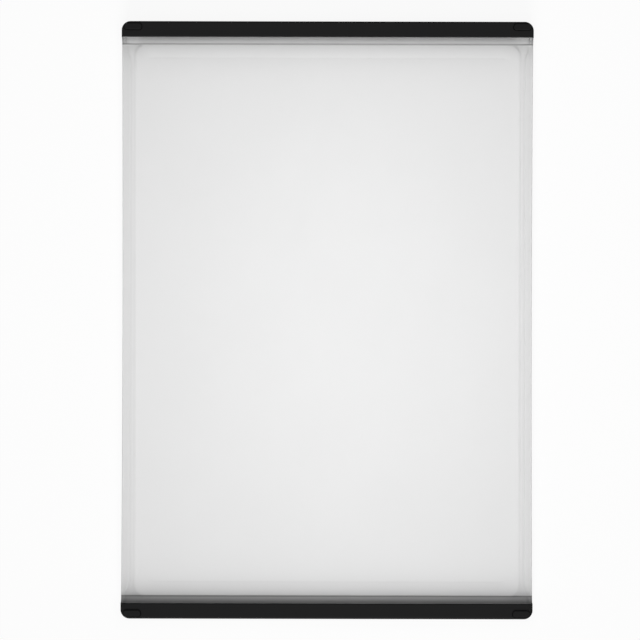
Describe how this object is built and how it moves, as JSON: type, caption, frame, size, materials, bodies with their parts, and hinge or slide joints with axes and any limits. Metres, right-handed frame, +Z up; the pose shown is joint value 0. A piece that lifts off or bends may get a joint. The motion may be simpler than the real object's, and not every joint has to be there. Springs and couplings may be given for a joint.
{
  "type": "carving board",
  "caption": "Oblong carving board: white moulded panel with a juice channel round its cutting face, raised soft grips along the short ends and non-slip corner pads.",
  "frame": {"origin": "on the surface that the board stands on, under the middle of the board", "axes": "+X across the board, +Y along it towards the far grip, +Z up out of the channelled cutting face"},
  "size_m": [0.3766, 0.546, 0.021],
  "materials": {
    "panel_white": "satin moulded polypropylene, faintly translucent",
    "grip_black": "matt soft-touch elastomer",
    "pad_black": "matt non-slip elastomer"
  },
  "bodies": {
    "root": {"board_panel": "panel_white", "far_grip": "grip_black", "near_grip": "grip_black", "upper_far_left_pad": "pad_black", "upper_far_right_pad": "pad_black", "upper_near_left_pad": "pad_black", "upper_near_right_pad": "pad_black", "lower_far_left_pad": "pad_black", "lower_far_right_pad": "pad_black", "lower_near_left_pad": "pad_black", "lower_near_right_pad": "pad_black"}
  },
  "joints": []
}
